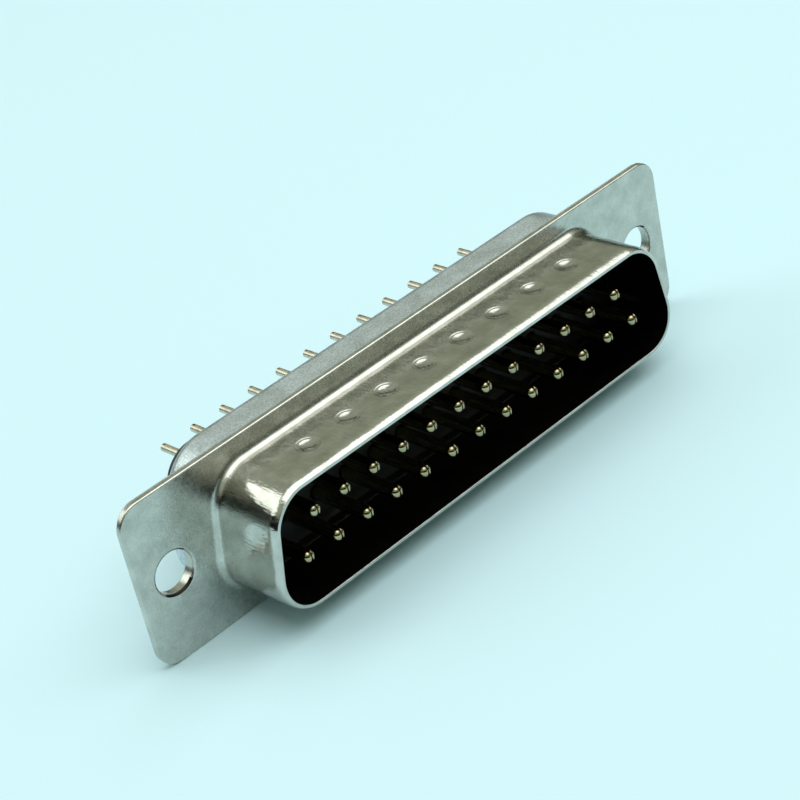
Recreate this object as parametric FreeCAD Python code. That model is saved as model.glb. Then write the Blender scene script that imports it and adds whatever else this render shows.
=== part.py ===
import FreeCAD, Part
import math
import os
from collections import namedtuple
from FreeCAD import Vector

# A 25-way d-sub plug with two drawn metal shells, two moulded insulators and 25 straight contacts.
# All sizes are in millimetres. X runs along the flange and Z points up to the shorter contact row.
# The plug mates towards -Y. The origin is the centre of the flange's front face.

# Contact grid
long_row_count = 13
short_row_count = 12
contact_pitch = 2.76
row_spacing = 2.84

# D shape of the shroud, measured on its inside face
row_end_margin = 2.92
row_side_margin = 2.76
shroud_corner_radius = 2.60
wall_angle = math.radians(10.0)

# Front shell: the flange's front sheet, drawn forwards into the shroud
front_sheet = 0.40
shroud_depth = 5.90
shroud_bend_radius = 0.55
mouth_outer_radius = 0.22
mouth_inner_radius = 0.05
edge_roll_radius = 0.12

# Grounding dimples pressed into the shroud's two long faces
dimple_count = 8
dimple_diameter = 1.60
dimple_depth = 0.13
dimple_end_margin = 3.37
dimple_setback = 2.90
dimple_thinning = 0.06

# Flange, its fixing holes and the eyelets that join the two shells
hole_diameter = 3.05
hole_to_shroud = 4.04
hole_to_flange_end = 3.00
hole_entry_radius = 0.22
flange_corner_radius = 1.70
eyelet_wall = 0.28
eyelet_clearance = 0.03
flare_width = 0.45
flare_thickness = 0.24
flare_rounding = 0.10

# Rear shell: a flanged can that holds the insulators
rear_sheet = 0.30
can_depth = 4.30
can_margin = 1.17
can_bend_radius = 0.30
can_rim_radius = 1.00
can_rim_land = 0.15
flange_above_can = 0.925
rear_flange_side_inset = 0.10
rear_flange_end_inset = 0.22
rear_edge_radius = 0.06

# Insulators
insulator_clearance = 0.05
front_base_thickness = 2.00
nose_height = 0.30
nose_clearance = 0.10
nose_edge_cut = 0.12
rear_standoff = 1.05
rear_edge_cut = 0.20
hole_lead_in = 0.14

# Contacts
contact_diameter = 1.02
contact_clearance = 0.02
contact_recess = 0.60
pin_seam_width = 0.06
pin_seam_depth = 0.28
pin_seam_offset = 0.06
collar_diameter = 1.70
collar_length = 1.10
shank_diameter = 1.16
shank_setback = 0.30
tail_diameter = 0.60
tail_length = 5.00
tail_end_cut = 0.12
seam_width = 0.12
seam_depth = 0.09

# Places along Y
flange_front = 0.0
mouth_plane = flange_front - shroud_depth
seat_plane = flange_front + front_sheet
rear_flange_back = seat_plane + rear_sheet
nose_plane = seat_plane - nose_height
split_plane = seat_plane + front_base_thickness
can_back = seat_plane + can_depth
can_floor = can_back - rear_sheet
rear_plane = can_back + rear_standoff
tip_plane = mouth_plane + contact_recess
tail_plane = rear_plane + tail_length

match_tolerance = 1e-4

# An outline is symmetric about Z, and its width is the largest one, at the lower corners
Outline = namedtuple("Outline", "width height radius slope")


def grown(outline, amount):
    """Move an outline outwards by an even amount, or inwards where it is negative."""
    width = outline.width + 2 * amount
    height = outline.height + 2 * amount
    return Outline(width, height, outline.radius + amount, outline.slope)


shroud_inside = Outline(
    (long_row_count - 1) * contact_pitch + 2 * row_end_margin,
    row_spacing + 2 * row_side_margin,
    shroud_corner_radius,
    wall_angle,
)
shroud_outside = grown(shroud_inside, front_sheet)
can_outside = grown(shroud_inside, can_margin)
can_inside = grown(can_outside, -rear_sheet)
can_opening = grown(can_outside, -(can_rim_radius + can_rim_land))

hole_spacing = shroud_inside.width + 2 * hole_to_shroud
flange = Outline(
    hole_spacing + 2 * hole_to_flange_end,
    can_outside.height + 2 * flange_above_can,
    flange_corner_radius,
    0.0,
)
rear_flange = Outline(
    flange.width - 2 * rear_flange_end_inset,
    flange.height - 2 * rear_flange_side_inset,
    flange_corner_radius - rear_flange_side_inset,
    0.0,
)


def corner_arc(centre_x, centre_z, radius, start, end, y):
    """One rounded corner in the plane at y, between two angles from +X towards +Z."""
    points = []
    for angle in (start, (start + end) / 2, end):
        x = centre_x + radius * math.cos(angle)
        z = centre_z + radius * math.sin(angle)
        points.append(Vector(x, y, z))
    return Part.Arc(*points).toShape()


def outline_wire(outline, y):
    """The closed wire of an outline in the plane at y."""
    down = -math.pi / 2
    up = math.pi / 2
    radius = outline.radius
    low_x = outline.width / 2 - radius
    low_z = radius - outline.height / 2
    high_z = outline.height / 2 - radius
    high_x = low_x - (high_z - low_z) * math.tan(outline.slope)
    corners = [
        corner_arc(low_x, low_z, radius, down, outline.slope, y),
        corner_arc(high_x, high_z, radius, outline.slope, up, y),
        corner_arc(-high_x, high_z, radius, up, math.pi - outline.slope, y),
        corner_arc(-low_x, low_z, radius, math.pi - outline.slope, math.pi - down, y),
    ]
    edges = []
    for index, corner in enumerate(corners):
        following = corners[(index + 1) % len(corners)]
        start = corner.valueAt(corner.LastParameter)
        end = following.valueAt(following.FirstParameter)
        edges.append(corner)
        edges.append(Part.makeLine(start, end))
    return Part.Wire(edges)


def prism(outline, front, back):
    """A straight block of one outline between two planes along Y."""
    face = Part.Face(outline_wire(outline, front))
    return face.extrude(Vector(0, back - front, 0))


def rod(diameter, front, back, x=0.0, z=0.0):
    """A round bar along Y."""
    return Part.makeCylinder(diameter / 2, back - front, Vector(x, front, z), Vector(0, 1, 0))


def ring_wire(diameter, y, x=0.0, z=0.0):
    """A circle in the plane at y."""
    return Part.Wire(Part.makeCircle(diameter / 2, Vector(x, y, z), Vector(0, 1, 0)))


def edges_on(shape, wire):
    """The edges of a shape whose middles lie on a wire."""
    found = []
    for edge in shape.Edges:
        middle = edge.valueAt((edge.FirstParameter + edge.LastParameter) / 2)
        if wire.distToShape(Part.Vertex(middle))[0] < match_tolerance:
            found.append(edge)
    return found


def rounded(shape, wire, radius):
    """Round the edges of a shape that follow a wire."""
    return shape.makeFillet(radius, edges_on(shape, wire))


def bevelled(shape, wire, size):
    """Bevel the edges of a shape that follow a wire."""
    return shape.makeChamfer(size, edges_on(shape, wire))


def contact_places():
    """Number, X and Z of each contact, numbered along each row from +X."""
    places = []
    rows = ((long_row_count, -row_spacing / 2), (short_row_count, row_spacing / 2))
    for count, z in rows:
        for index in range(count):
            x = ((count - 1) / 2 - index) * contact_pitch
            places.append((len(places) + 1, x, z))
    return places


def flange_hole_places():
    """X of the two fixing holes, which are level with the origin."""
    return (-hole_spacing / 2, hole_spacing / 2)


def dimple_places():
    """X of each grounding dimple, spread evenly along the flat of the upper face."""
    radius = shroud_inside.radius
    corner_rise = shroud_inside.height - 2 * radius
    flat = shroud_inside.width - 2 * radius - 2 * corner_rise * math.tan(wall_angle)
    span = flat - 2 * dimple_end_margin
    pitch = span / (dimple_count - 1)
    return [index * pitch - span / 2 for index in range(dimple_count)]


def pressed_dimple(x, side):
    """The pocket and the inner bump of one dimple, on the upper (1) or lower (-1) face."""
    ball = ((dimple_diameter / 2) ** 2 + dimple_depth ** 2) / (2 * dimple_depth)
    outer_face = shroud_outside.height / 2
    centre = Vector(x, flange_front - dimple_setback, side * (outer_face + ball - dimple_depth))
    pocket = Part.makeSphere(ball, centre)
    shell_ball = Part.makeSphere(ball + front_sheet - dimple_thinning, centre)
    # The bump starts half way into the sheet, so that it joins the wall and stays inside it
    cap_height = ball + front_sheet
    cap_top = outer_face - front_sheet / 2
    low_z = cap_top - cap_height if side > 0 else -cap_top
    corner = Vector(x - ball, centre.y - ball, low_z)
    slab = Part.makeBox(2 * ball, 2 * ball, cap_height, corner)
    return pocket, shell_ball.common(slab)


def make_front_shell():
    """The flange's front sheet with its shroud, dimples and eyelets."""
    shell = prism(flange, flange_front, seat_plane)
    shell = shell.fuse(prism(shroud_outside, mouth_plane, seat_plane)).removeSplitter()
    shell = rounded(shell, outline_wire(shroud_outside, flange_front), shroud_bend_radius)
    shell = rounded(shell, outline_wire(flange, flange_front), edge_roll_radius)
    shell = shell.cut(prism(shroud_inside, mouth_plane, seat_plane))
    inner_bend = shroud_bend_radius + front_sheet
    shell = rounded(shell, outline_wire(shroud_inside, seat_plane), inner_bend)
    shell = rounded(shell, outline_wire(shroud_outside, mouth_plane), mouth_outer_radius)
    shell = rounded(shell, outline_wire(shroud_inside, mouth_plane), mouth_inner_radius)
    for side in (1, -1):
        for x in dimple_places():
            pocket, bump = pressed_dimple(x, side)
            shell = shell.fuse(bump).cut(pocket)
    for x in flange_hole_places():
        shell = add_eyelet(shell, x)
    return shell


def add_eyelet(shell, x):
    """Draw one fixing hole's wall back through the rear flange and flare it over."""
    outer = hole_diameter + 2 * eyelet_wall
    flare_back = rear_flange_back + flare_thickness
    flare_diameter = outer + 2 * flare_width
    tube = rod(outer, seat_plane - front_sheet / 2, flare_back, x)
    flare = rod(flare_diameter, rear_flange_back, flare_back, x)
    flare = rounded(flare, ring_wire(flare_diameter, flare_back, x), flare_rounding)
    shell = shell.fuse(tube).fuse(flare).removeSplitter()
    shell = shell.cut(rod(hole_diameter, flange_front - front_sheet, flare_back + front_sheet, x))
    shell = rounded(shell, ring_wire(hole_diameter, flange_front, x), hole_entry_radius)
    return rounded(shell, ring_wire(hole_diameter, flare_back, x), flare_rounding)


def make_rear_shell():
    """The flanged can that closes round both insulators."""
    shell = prism(rear_flange, seat_plane, rear_flange_back)
    shell = shell.fuse(prism(can_outside, seat_plane, can_back)).removeSplitter()
    shell = rounded(shell, outline_wire(can_outside, rear_flange_back), can_bend_radius)
    shell = rounded(shell, outline_wire(can_outside, can_back), can_rim_radius)
    shell = rounded(shell, outline_wire(rear_flange, rear_flange_back), rear_edge_radius)
    hollow = prism(can_inside, seat_plane, can_floor)
    hollow = rounded(hollow, outline_wire(can_inside, can_floor), can_rim_radius - rear_sheet)
    shell = shell.cut(hollow)
    shell = shell.cut(prism(can_opening, can_floor - rear_sheet, can_back + rear_sheet))
    inner_bend = can_bend_radius + rear_sheet
    shell = rounded(shell, outline_wire(can_inside, seat_plane), inner_bend)
    eyelet_hole = hole_diameter + 2 * eyelet_wall + 2 * eyelet_clearance
    for x in flange_hole_places():
        shell = shell.cut(rod(eyelet_hole, seat_plane, rear_flange_back, x))
    return shell


def lead_in(diameter, face, inwards, x, z):
    """The cone that opens one contact hole at a face, narrowing along inwards, 1 or -1."""
    wide = diameter / 2 + hole_lead_in
    narrow = diameter / 2
    return Part.makeCone(wide, narrow, hole_lead_in, Vector(x, face, z), Vector(0, inwards, 0))


def make_front_insulator():
    """The moulding that carries the contacts and fills the root of the shroud."""
    body = grown(can_inside, -insulator_clearance)
    inner_bend = can_bend_radius + rear_sheet
    # The rim is trapped between the shells, clear of the can's bend by the insulator clearance
    bend_relief = math.sqrt(2) * (inner_bend + insulator_clearance)
    rim_overhang = insulator_clearance + 2 * inner_bend - bend_relief
    rim_wires = [
        outline_wire(grown(body, rim_overhang), seat_plane),
        outline_wire(body, seat_plane + rim_overhang),
    ]
    nose = prism(grown(shroud_inside, -nose_clearance), nose_plane, split_plane)
    nose = bevelled(nose, outline_wire(grown(shroud_inside, -nose_clearance), nose_plane), nose_edge_cut)
    insulator = prism(body, seat_plane, split_plane)
    insulator = insulator.fuse(Part.makeLoft(rim_wires, True, True)).fuse(nose).removeSplitter()
    bore = contact_diameter + 2 * contact_clearance
    pocket = collar_diameter + 2 * contact_clearance
    cutters = []
    for _, x, z in contact_places():
        cutters.append(rod(bore, nose_plane, split_plane, x, z))
        cutters.append(rod(pocket, split_plane - collar_length, split_plane, x, z))
        cutters.append(lead_in(bore, nose_plane, 1, x, z))
    return insulator.cut(cutters)


def make_rear_insulator():
    """The moulding that closes the contact pockets and stands proud of the can."""
    body = grown(can_inside, -insulator_clearance)
    block = grown(can_opening, -insulator_clearance)
    body_edge = can_rim_radius - rear_sheet + insulator_clearance
    insulator = prism(body, split_plane, can_floor)
    insulator = rounded(insulator, outline_wire(body, can_floor), body_edge)
    standoff = prism(block, split_plane, rear_plane)
    standoff = bevelled(standoff, outline_wire(block, rear_plane), rear_edge_cut)
    insulator = insulator.fuse(standoff).removeSplitter()
    bore = shank_diameter + 2 * contact_clearance
    cutters = []
    for _, x, z in contact_places():
        cutters.append(rod(bore, split_plane, rear_plane, x, z))
        cutters.append(lead_in(bore, rear_plane, -1, x, z))
    return insulator.cut(cutters)


def pin_seam():
    """The slots where the rolled sheet of a pin meets, over its dome and back along its top."""
    radius = contact_diameter / 2
    dome_back = tip_plane + radius
    near_x = pin_seam_offset - pin_seam_width / 2
    over_dome = Part.makeBox(
        pin_seam_width, 2 * radius, 4 * radius, Vector(near_x, dome_back - 2 * radius, -2 * radius)
    )
    core = Part.makeSphere(radius - pin_seam_depth, Vector(0, dome_back, 0))
    along_top = Part.makeBox(
        pin_seam_width,
        split_plane - collar_length - dome_back,
        2 * pin_seam_depth,
        Vector(near_x, dome_back, radius - pin_seam_depth),
    )
    return [over_dome.cut(core), along_top]


def turned_contact():
    """The round part of a contact on the Y axis: domed pin, collar and shank."""
    radius = contact_diameter / 2
    collar_front = split_plane - collar_length
    shank_back = rear_plane - shank_setback
    dome_middle = Vector(
        radius * math.sin(math.pi / 4),
        tip_plane + radius - radius * math.cos(math.pi / 4),
        0,
    )
    tip = Vector(0, tip_plane, 0)
    dome_end = Vector(radius, tip_plane + radius, 0)
    corners = [
        dome_end,
        Vector(radius, collar_front, 0),
        Vector(collar_diameter / 2, collar_front, 0),
        Vector(collar_diameter / 2, split_plane, 0),
        Vector(shank_diameter / 2, split_plane, 0),
        Vector(shank_diameter / 2, shank_back, 0),
        Vector(0, shank_back, 0),
        tip,
    ]
    edges = [Part.Arc(tip, dome_middle, dome_end).toShape()]
    for start, end in zip(corners, corners[1:]):
        edges.append(Part.makeLine(start, end))
    face = Part.Face(Part.Wire(edges))
    return face.revolve(Vector(0, 0, 0), Vector(0, 1, 0), 360)


def rolled_tail():
    """The straight board tail: a round bar with a bevelled end and the rolled sheet's seam on top."""
    radius = tail_diameter / 2
    front = rear_plane - shank_setback - seam_depth
    bar = Part.makeCylinder(radius, tail_plane - front, Vector(0, front, 0), Vector(0, 1, 0))
    end_edges = [edge for edge in bar.Edges if edge.BoundBox.YMin > tail_plane - match_tolerance]
    bar = bar.makeChamfer(tail_end_cut, end_edges)
    seam_front = rear_plane - shank_setback
    seam = Part.makeBox(
        seam_width,
        tail_plane - seam_front,
        2 * seam_depth,
        Vector(-seam_width / 2, seam_front, radius - seam_depth),
    )
    return bar.cut(seam)


def make_contact():
    """One contact on the Y axis, ready to be moved to its place."""
    return turned_contact().fuse(rolled_tail()).removeSplitter().cut(pin_seam())


def make_pieces():
    """Every piece of the plug under its name."""
    pieces = {
        "front_shell": make_front_shell(),
        "rear_shell": make_rear_shell(),
        "front_insulator": make_front_insulator(),
        "rear_insulator": make_rear_insulator(),
    }
    contact = make_contact()
    for number, x, z in contact_places():
        pieces[f"contact_{number:02d}"] = contact.translated(Vector(x, 0, z))
    return pieces


def main():
    os.makedirs("parts", exist_ok=True)
    for name, shape in make_pieces().items():
        shape.exportStep(f"parts/{name}.step")
        print(f"{name}: solids {len(shape.Solids)}, volume {shape.Volume:.3f}, valid {shape.isValid()}")


main()
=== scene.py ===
"""Looks for a 25-way d-sub plug: two drawn metal shells, two black mouldings and 25 pin contacts.

Pieces are modelled in millimetres at their place in the object's frame and brought to metres when
they are finished. X runs along the flange, Z points up to the shorter contact row, and the plug
mates towards -Y. The origin is the centre of the flange's front face.
"""

import logging
import math
from abc import ABC, abstractmethod
from collections.abc import Callable, Sequence
from dataclasses import dataclass, field
from enum import Enum

import bmesh
import bpy
from bmesh.types import BMEdge, BMFace
from bpy.types import Material, Modifier, NodeSocket, NodeTree, Object
from mathutils import Matrix, Vector


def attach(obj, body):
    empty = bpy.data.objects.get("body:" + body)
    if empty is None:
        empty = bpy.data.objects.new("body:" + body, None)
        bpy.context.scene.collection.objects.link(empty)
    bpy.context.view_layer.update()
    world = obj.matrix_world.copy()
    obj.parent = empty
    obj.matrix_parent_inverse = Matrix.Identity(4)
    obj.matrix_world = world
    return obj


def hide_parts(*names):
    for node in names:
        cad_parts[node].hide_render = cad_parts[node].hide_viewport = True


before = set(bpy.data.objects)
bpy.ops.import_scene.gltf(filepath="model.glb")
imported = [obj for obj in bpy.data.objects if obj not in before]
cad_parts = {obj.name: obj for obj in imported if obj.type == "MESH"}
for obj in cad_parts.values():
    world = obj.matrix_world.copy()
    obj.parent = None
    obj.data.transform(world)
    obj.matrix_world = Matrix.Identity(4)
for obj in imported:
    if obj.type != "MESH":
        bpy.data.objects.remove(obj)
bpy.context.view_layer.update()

log = logging.getLogger("dsub_plug")

# Millimetres to metres, then the gaps in millimetres that are merged and that count as on a plane.
MM = 0.001
WELD = 0.002
ON_PLANE = 0.004

# Edges that turn less are smooth, and a face whose normal has a larger part along an axis is flat.
SMOOTH_ANGLE = math.radians(28.0)
SQUARE_ON = 0.99999

# A face whose normal has a larger part along an axis looks that way.
LOOKS_ALONG = 0.9

# Sides of the turned fixing holes and contact holes.
HOLE_SIDES = 64
BORE_SIDES = 32

# Most values of a noise texture lie between these two.
NOISE_LOW, NOISE_HIGH = 0.35, 0.65

Coordinates = tuple[float, float, float]
Profile = Sequence[tuple[float, float]]
Stops = tuple[tuple[float, str], ...]
Sockets = dict[str, NodeSocket]


class Facing(Enum):
    """Which way a flat face looks along the mating axis."""

    FRONT = -1
    BACK = 1


class Leaving(Enum):
    """What a quarter round is tangent to where it starts: the flat face, or the wall round it."""

    FACE = "face"
    WALL = "wall"


class Axis(Enum):
    """The axis that a turned shape is spun about."""

    LENGTH = (1.0, 0.0, 0.0)
    MATING = (0.0, 1.0, 0.0)
    HEIGHT = (0.0, 0.0, 1.0)


class Layer(Enum):
    """The pattern that a finish takes its colour from."""

    PATCHES = "patches"
    GRAIN = "grain"


@dataclass(frozen=True)
class Outline:
    """A shape that is symmetric about Z: a rectangle or a D with round corners.

    Its width is the largest one, at the lower corners, and slope leans the end walls inwards.
    """

    width: float
    height: float
    radius: float
    slope: float = 0.0

    def grown(self, amount: float) -> "Outline":
        """The outline moved outwards by an even amount, or inwards where it is negative."""
        return Outline(
            self.width + 2 * amount, self.height + 2 * amount, self.radius + amount, self.slope
        )

    @property
    def low_half(self) -> float:
        """Half the width between the sharp lower corners."""
        reach = self.radius * (1 + math.sin(self.slope)) / math.cos(self.slope)
        return self.width / 2 - self.radius + reach

    @property
    def high_half(self) -> float:
        """Half the width between the sharp upper corners."""
        return self.low_half - self.height * math.tan(self.slope)

    def corner_reach(self, upper: bool) -> float:
        """How far a corner's arc reaches along its edges from the sharp corner.

        Args:
            upper: whether the corner is one of the two upper ones.

        Returns:
            The length along either edge.
        """
        lean = self.slope if upper else -self.slope
        return self.radius / math.tan(math.pi / 4 + lean / 2)


def leave() -> None:
    """Go back to object mode with nothing selected."""
    if bpy.context.object is not None and bpy.context.object.mode != "OBJECT":
        bpy.ops.object.mode_set(mode="OBJECT")
    bpy.ops.object.select_all(action="DESELECT")


def take(piece: Object) -> None:
    """Select one object alone and make it the active one.

    Args:
        piece: the object.
    """
    leave()
    piece.select_set(True)
    bpy.context.view_layer.objects.active = piece


def edit(piece: Object, kind: str = "FACE") -> None:
    """Open a piece in edit mode with nothing selected.

    Args:
        piece: the object to open.
        kind: VERT, EDGE or FACE, the kind that the next steps select.
    """
    take(piece)
    bpy.ops.object.mode_set(mode="EDIT")
    bpy.ops.mesh.select_mode(type=kind)
    bpy.ops.mesh.select_all(action="DESELECT")


def pick(piece: Object, kind: str, test: Callable[[object], bool]) -> None:
    """Select the vertices, edges or faces that pass a test, in edit mode.

    Args:
        piece: the object that is open in edit mode.
        kind: VERT, EDGE or FACE.
        test: says for one element whether it is wanted.
    """
    bpy.ops.mesh.select_mode(type=kind)
    bpy.ops.mesh.select_all(action="DESELECT")
    cage = bmesh.from_edit_mesh(piece.data)
    elements = {"VERT": cage.verts, "EDGE": cage.edges, "FACE": cage.faces}[kind]
    for element in [element for element in elements if test(element)]:
        element.select_set(True)
    cage.select_flush_mode()
    bmesh.update_edit_mesh(piece.data)


def open_edge_on(y: float) -> Callable[[BMEdge], bool]:
    """A test for open edges that lie in the plane at y.

    Args:
        y: the plane.

    Returns:
        The test, which takes an edge.
    """

    def test(edge: BMEdge) -> bool:
        """Whether an edge lies in the plane and has fewer than two faces."""
        flat = all(abs(vertex.co.y - y) < ON_PLANE for vertex in edge.verts)
        return flat and len(edge.link_faces) < 2

    return test


def is_between(face: BMFace, reach: float) -> bool:
    """Whether a face's middle is nearer than a reach to the plane of X = 0."""
    return abs(face.calc_center_median().x) < reach


def set_place(piece: Object) -> None:
    """Move an object's place, turn and scale into its mesh."""
    take(piece)
    bpy.ops.object.transform_apply(location=True, rotation=True, scale=True)


def plate(name: str, outline: Outline, y: float, facing: Facing, segments: int = 24) -> Object:
    """Cut one flat face with round corners, and leave it open in edit mode with the face selected.

    Args:
        name: the new object's name.
        outline: the face's shape.
        y: the plane that it lies in.
        facing: the way it looks.
        segments: how many sides each corner has.

    Returns:
        The new object.
    """
    leave()
    turn = -facing.value * math.pi / 2
    bpy.ops.mesh.primitive_plane_add(size=2, location=(0, y, 0), rotation=(turn, 0, 0))
    piece = bpy.context.object
    piece.name = name
    piece.scale = (outline.low_half, outline.height / 2, 1)
    set_place(piece)
    edit(piece, "VERT")
    pick(piece, "VERT", lambda vertex: vertex.co.z > 0)
    ratio = outline.high_half / outline.low_half
    bpy.ops.transform.resize(value=(ratio, 1, 1), center_override=(0, y, 0))
    rounding = {"offset_type": "ABSOLUTE", "segments": segments, "affect": "VERTICES"}
    bpy.ops.mesh.bevel(offset=outline.corner_reach(True), **rounding)
    pick(piece, "VERT", lambda vertex: vertex.co.z < WELD - outline.height / 2)
    bpy.ops.mesh.bevel(offset=outline.corner_reach(False), **rounding)
    bpy.ops.mesh.select_mode(type="FACE")
    bpy.ops.mesh.select_all(action="SELECT")
    return piece


def inset(thickness: float, depth: float = 0.0) -> None:
    """Shrink the selected face evenly and move it along its normal."""
    bpy.ops.mesh.inset(thickness=thickness, depth=depth, use_even_offset=True)


def draw(length: float) -> None:
    """Extrude the selected face along the mating axis."""
    bpy.ops.mesh.extrude_region_move(TRANSFORM_OT_translate={"value": (0, length, 0)})


def quarter(across: float, along: float, leaving: Leaving, steps: int = 8) -> None:
    """Shrink the selected face along a quarter round.

    Args:
        across: how far the round goes inwards, across the face.
        along: how far it goes along the face's normal, negative to sink.
        leaving: what the round is tangent to where it starts.
        steps: how many sides it has.
    """
    done_in = done_out = 0.0
    for step in range(1, steps + 1):
        angle = step / steps * math.pi / 2
        near, far = math.sin(angle), 1 - math.cos(angle)
        if leaving is Leaving.FACE:
            gone_in, gone_out = across * near, along * far
        else:
            gone_in, gone_out = across * far, along * near
        inset(gone_in - done_in, gone_out - done_out)
        done_in, done_out = gone_in, gone_out


def open_cap() -> None:
    """Take the selected face out and keep its edges."""
    bpy.ops.mesh.delete(type="ONLY_FACE")


def open_start(piece: Object, outline: Outline) -> None:
    """Take out the flat face that a drawn plate started from, and keep its edges.

    Args:
        piece: the drawn plate.
        outline: a shape no larger than that face.
    """
    edit(piece)
    pick(piece, "FACE", lambda face: face.calc_area() > outline.height**2)
    open_cap()


def joined(name: str, parts: Sequence[Object]) -> Object:
    """Join several objects into one.

    Args:
        name: the name of the joined object.
        parts: the objects, which stop being objects of their own.

    Returns:
        The joined object.
    """
    leave()
    for part in parts:
        part.select_set(True)
    bpy.context.view_layer.objects.active = parts[0]
    bpy.ops.object.join()
    parts[0].name = name
    return parts[0]


def weld(piece: Object) -> None:
    """Merge doubled vertices and turn every face outwards.

    Args:
        piece: the object to close.
    """
    edit(piece, "VERT")
    bpy.ops.mesh.select_all(action="SELECT")
    bpy.ops.mesh.remove_doubles(threshold=WELD)
    bpy.ops.mesh.normals_make_consistent(inside=False)
    leave()


def close_flats(piece: Object, *planes: float) -> None:
    """Fill the flats between the open loops in some planes, round the holes, and weld the piece.

    Args:
        piece: the object whose loops are filled.
        planes: the Y of each flat.
    """
    for plane in planes:
        edit(piece, "EDGE")
        pick(piece, "EDGE", open_edge_on(plane))
        bpy.ops.mesh.fill(use_beauty=True)
    weld(piece)


def bridge(piece: Object, first: float, second: float) -> None:
    """Join the open loop in one plane to the open loop in another with a straight wall.

    Args:
        piece: the object whose loops are joined.
        first: the Y of one loop.
        second: the Y of the other.
    """
    edit(piece, "EDGE")
    on_first, on_second = open_edge_on(first), open_edge_on(second)
    pick(piece, "EDGE", lambda edge: on_first(edge) or on_second(edge))
    bpy.ops.mesh.bridge_edge_loops()
    leave()


def arc(
    centre: tuple[float, float], radius: float, start: float, end: float, steps: int
) -> list[tuple[float, float]]:
    """Points along an arc of a turned profile.

    Args:
        centre: the arc's centre, as distance from the axis and height along it.
        radius: its radius.
        start: the first angle in degrees, from straight outwards towards the axis's end.
        end: the last angle.
        steps: how many sides the arc has.

    Returns:
        The points, both ends among them.
    """
    angles = [math.radians(start + (end - start) * step / steps) for step in range(steps + 1)]
    return [
        (centre[0] + radius * math.cos(angle), centre[1] + radius * math.sin(angle))
        for angle in angles
    ]


def turned(
    name: str,
    profile: Profile,
    centre: Coordinates,
    axis: Axis,
    steps: int,
    turn: float = 2 * math.pi,
) -> Object:
    """Draw a profile point by point and spin it round an axis.

    Args:
        name: the new object's name.
        profile: distances from the axis and heights along it, in order.
        centre: the point that heights are measured from, on the axis.
        axis: the axis that it spins about.
        steps: how many sides the turned shape has.
        turn: how far it is turned.

    Returns:
        The new object.
    """
    leave()
    up = Vector(axis.value)
    out = Vector(Axis.HEIGHT.value if axis is Axis.LENGTH else Axis.LENGTH.value)
    places = [Vector(centre) + out * reach + up * height for reach, height in profile]
    bpy.ops.mesh.primitive_plane_add(size=WELD, location=places[0])
    piece = bpy.context.object
    piece.name = name
    set_place(piece)
    edit(piece, "VERT")
    bpy.ops.mesh.select_all(action="SELECT")
    bpy.ops.mesh.merge(type="CENTER")
    for before, after in zip(places, places[1:]):
        bpy.ops.mesh.extrude_region_move(TRANSFORM_OT_translate={"value": tuple(after - before)})
    bpy.ops.mesh.select_all(action="SELECT")
    bpy.ops.mesh.spin(steps=steps, angle=turn, center=centre, axis=axis.value)
    weld(piece)
    return piece


def copies(pattern: Object, moves: Sequence[Coordinates], name: str) -> list[Object]:
    """Copy a finished shape to several places, each copy with its own mesh.

    Args:
        pattern: the shape, which is removed at the end.
        moves: how far each copy is moved from it.
        name: the start of each copy's name.

    Returns:
        The copies, in order.
    """
    made = []
    for number, move in enumerate(moves, start=1):
        take(pattern)
        bpy.ops.object.duplicate(linked=False)
        copy = bpy.context.object
        copy.name = f"{name}_{number:02d}"
        bpy.ops.transform.translate(value=move)
        set_place(copy)
        made.append(copy)
    bpy.data.objects.remove(pattern)
    return made


def turned_holes(
    name: str, profile: Profile, places: Sequence[Coordinates], sides: int
) -> list[Object]:
    """Spin the wall of a hole about the mating axis and copy it to its places.

    Args:
        name: the start of each hole's name.
        profile: distances from the hole's axis and Y, in order.
        places: where the holes are.
        sides: how many sides each has.

    Returns:
        The holes' walls, in order.
    """
    return copies(turned(name, profile, (0, 0, 0), Axis.MATING, sides), places, name)


def apply_modifier(piece: Object, modifier: Modifier) -> None:
    """Apply one modifier to its mesh."""
    take(piece)
    bpy.ops.object.modifier_apply(modifier=modifier.name)


def combine(piece: Object, tool: Object, operation: str) -> None:
    """Cut a tool from a piece, or add it, and remove the tool.

    Args:
        piece: the object that is changed.
        tool: the closed shape that cuts it or is added to it.
        operation: DIFFERENCE or UNION.
    """
    modifier = piece.modifiers.new(operation.title(), "BOOLEAN")
    modifier.operation = operation
    modifier.solver = "EXACT"
    modifier.object = tool
    apply_modifier(piece, modifier)
    bpy.data.objects.remove(tool)


def finish_piece(piece: Object, replaced: str, material: Material) -> None:
    """Smooth a piece, bring it to metres, dress it and fix it to the object's body.

    Its normals are weighted while it is in millimetres. In metres the small faces' areas are too
    small for the modifier, which then leaves streaks on the flats.

    Args:
        piece: the modelled object, in millimetres.
        replaced: the CAD node that it stands for.
        material: its finish.
    """
    edit(piece)
    pick(piece, "FACE", lambda face: max(abs(part) for part in face.normal) > SQUARE_ON)
    bpy.ops.mesh.mod_weighted_strength(set=True, face_strength="STRONG")
    leave()
    piece.select_set(True)
    bpy.ops.object.shade_smooth_by_angle(angle=SMOOTH_ANGLE)
    weighting = piece.modifiers.new("Weighted", "WEIGHTED_NORMAL")
    weighting.keep_sharp = True
    weighting.use_face_influence = True
    apply_modifier(piece, weighting)
    piece.scale = (MM, MM, MM)
    set_place(piece)
    piece.data.materials.clear()
    piece.data.materials.append(material)
    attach(piece, "root")
    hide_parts(replaced)
    cage = bmesh.new()
    cage.from_mesh(piece.data)
    open_edges = sum(1 for edge in cage.edges if not edge.is_manifold)
    log.info("%s: %d faces, %d open edges", piece.name, len(cage.faces), open_edges)
    cage.free()


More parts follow.
